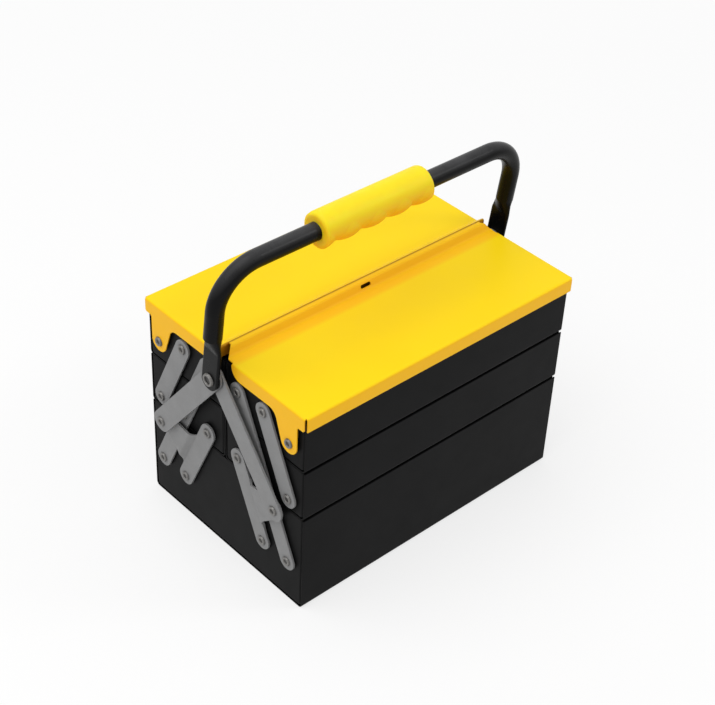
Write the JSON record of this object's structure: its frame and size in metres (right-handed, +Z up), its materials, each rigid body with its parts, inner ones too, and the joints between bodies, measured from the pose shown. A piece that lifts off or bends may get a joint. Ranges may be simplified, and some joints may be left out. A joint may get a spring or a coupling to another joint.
{
  "type": "cantilever tool box",
  "caption": "Cantilever tool box with black stepped trays on parallel links, yellow hinged lids and a bail handle whose lift folds it shut.",
  "frame": {"origin": "middle of the base tray's underside", "axes": "+X along the box and its pivots, -Y out of the front, +Z up"},
  "size_m": [0.3394, 0.206, 0.3125],
  "materials": {
    "tray_black": "satin black powder coat",
    "lid_yellow": "satin yellow powder coat",
    "link_steel": "grey coated steel strip",
    "rivet_steel": "grey coated rivet",
    "handle_black": "semi-gloss black coated tube",
    "grip_yellow": "soft yellow plastic"
  },
  "bodies": {
    "base": {"base_wrap": "tray_black", "base_end_left": "tray_black", "base_end_right": "tray_black", "base_rivets": "rivet_steel"},
    "front_lower_links": {"front_lower_link_left": "link_steel", "front_lower_link_right": "link_steel", "front_crank_rivets": "rivet_steel"},
    "front_long_links": {"front_long_link_left": "link_steel", "front_long_link_right": "link_steel"},
    "front_mid_tray": {"front_mid_wrap": "tray_black", "front_mid_end_left": "tray_black", "front_mid_end_right": "tray_black", "front_mid_rivets": "rivet_steel"},
    "front_top_tray": {"front_top_wrap": "tray_black", "front_top_end_left": "tray_black", "front_top_end_right": "tray_black", "front_top_rivets": "rivet_steel"},
    "front_upper_links": {"front_upper_link_left": "link_steel", "front_upper_link_right": "link_steel"},
    "front_handle_links": {"front_handle_link_left": "link_steel", "front_handle_link_right": "link_steel"},
    "front_lid": {"front_lid": "lid_yellow"},
    "back_lower_links": {"back_lower_link_left": "link_steel", "back_lower_link_right": "link_steel", "back_crank_rivets": "rivet_steel"},
    "back_long_links": {"back_long_link_left": "link_steel", "back_long_link_right": "link_steel"},
    "back_mid_tray": {"back_mid_wrap": "tray_black", "back_mid_end_left": "tray_black", "back_mid_end_right": "tray_black", "back_mid_rivets": "rivet_steel"},
    "back_top_tray": {"back_top_wrap": "tray_black", "back_top_end_left": "tray_black", "back_top_end_right": "tray_black", "back_top_rivets": "rivet_steel"},
    "back_upper_links": {"back_upper_link_left": "link_steel", "back_upper_link_right": "link_steel"},
    "back_handle_links": {"back_handle_link_left": "link_steel", "back_handle_link_right": "link_steel"},
    "back_lid": {"back_lid": "lid_yellow"},
    "handle": {"handle_tube": "handle_black", "handle_grip": "grip_yellow", "handle_rivets": "rivet_steel"}
  },
  "joints": [
    {"name": "front_fold", "type": "hinge", "parent": "base", "child": "front_lower_links", "pos_m": [0, -0.0517, 0.0445], "axis": [1, 0, 0], "range_deg": [0, 48]},
    {"name": "front_long_link_turn", "type": "hinge", "parent": "base", "child": "front_long_links", "pos_m": [0, -0.0834, 0.0445], "axis": [1, 0, 0], "range_deg": [0, 48]},
    {"name": "front_mid_tray_level", "type": "hinge", "parent": "front_long_links", "child": "front_mid_tray", "pos_m": [0, -0.0517, 0.1133], "axis": [1, 0, 0], "range_deg": [-48, 0]},
    {"name": "front_top_tray_level", "type": "hinge", "parent": "front_long_links", "child": "front_top_tray", "pos_m": [0, -0.02, 0.1821], "axis": [1, 0, 0], "range_deg": [-48, 0]},
    {"name": "front_upper_link_turn", "type": "hinge", "parent": "front_mid_tray", "child": "front_upper_links", "pos_m": [0, -0.0834, 0.1133], "axis": [1, 0, 0], "range_deg": [0, 48]},
    {"name": "front_handle_link_turn", "type": "hinge", "parent": "front_lower_links", "child": "front_handle_links", "pos_m": [0, -0.07283, 0.09662], "axis": [1, 0, 0], "range_deg": [-74, 0]},
    {"name": "front_lid_hinge", "type": "hinge", "parent": "front_top_tray", "child": "front_lid", "pos_m": [0, -0.0834, 0.1715], "axis": [1, 0, 0], "range_deg": [0, 100]},
    {"name": "back_fold", "type": "hinge", "parent": "base", "child": "back_lower_links", "pos_m": [0, 0.0517, 0.0445], "axis": [-1, 0, 0], "range_deg": [0, 48]},
    {"name": "back_long_link_turn", "type": "hinge", "parent": "base", "child": "back_long_links", "pos_m": [0, 0.0834, 0.0445], "axis": [-1, 0, 0], "range_deg": [0, 48]},
    {"name": "back_mid_tray_level", "type": "hinge", "parent": "back_long_links", "child": "back_mid_tray", "pos_m": [0, 0.0517, 0.1133], "axis": [-1, 0, 0], "range_deg": [-48, 0]},
    {"name": "back_top_tray_level", "type": "hinge", "parent": "back_long_links", "child": "back_top_tray", "pos_m": [0, 0.02, 0.1821], "axis": [-1, 0, 0], "range_deg": [-48, 0]},
    {"name": "back_upper_link_turn", "type": "hinge", "parent": "back_mid_tray", "child": "back_upper_links", "pos_m": [0, 0.0834, 0.1133], "axis": [-1, 0, 0], "range_deg": [0, 48]},
    {"name": "back_handle_link_turn", "type": "hinge", "parent": "back_lower_links", "child": "back_handle_links", "pos_m": [0, 0.07283, 0.09662], "axis": [-1, 0, 0], "range_deg": [-74, 0]},
    {"name": "back_lid_hinge", "type": "hinge", "parent": "back_top_tray", "child": "back_lid", "pos_m": [0, 0.0834, 0.1715], "axis": [-1, 0, 0], "range_deg": [0, 100]},
    {"name": "handle_swing", "type": "hinge", "parent": "front_handle_links", "child": "handle", "pos_m": [0, 0, 0.189], "axis": [1, 0, 0], "range_deg": [-40, 60]}
  ],
  "couplings": [
    {"joint": "front_long_link_turn", "follows": "front_fold", "ratio": 1},
    {"joint": "front_mid_tray_level", "follows": "front_fold", "ratio": -1},
    {"joint": "front_top_tray_level", "follows": "front_fold", "ratio": -1},
    {"joint": "front_upper_link_turn", "follows": "front_fold", "ratio": 1},
    {"joint": "front_handle_link_turn", "follows": "front_fold", "ratio": -1.5293},
    {"joint": "back_fold", "follows": "front_fold", "ratio": 1},
    {"joint": "back_long_link_turn", "follows": "front_fold", "ratio": 1},
    {"joint": "back_mid_tray_level", "follows": "front_fold", "ratio": -1},
    {"joint": "back_top_tray_level", "follows": "front_fold", "ratio": -1},
    {"joint": "back_upper_link_turn", "follows": "front_fold", "ratio": 1},
    {"joint": "back_handle_link_turn", "follows": "front_fold", "ratio": -1.5293}
  ]
}
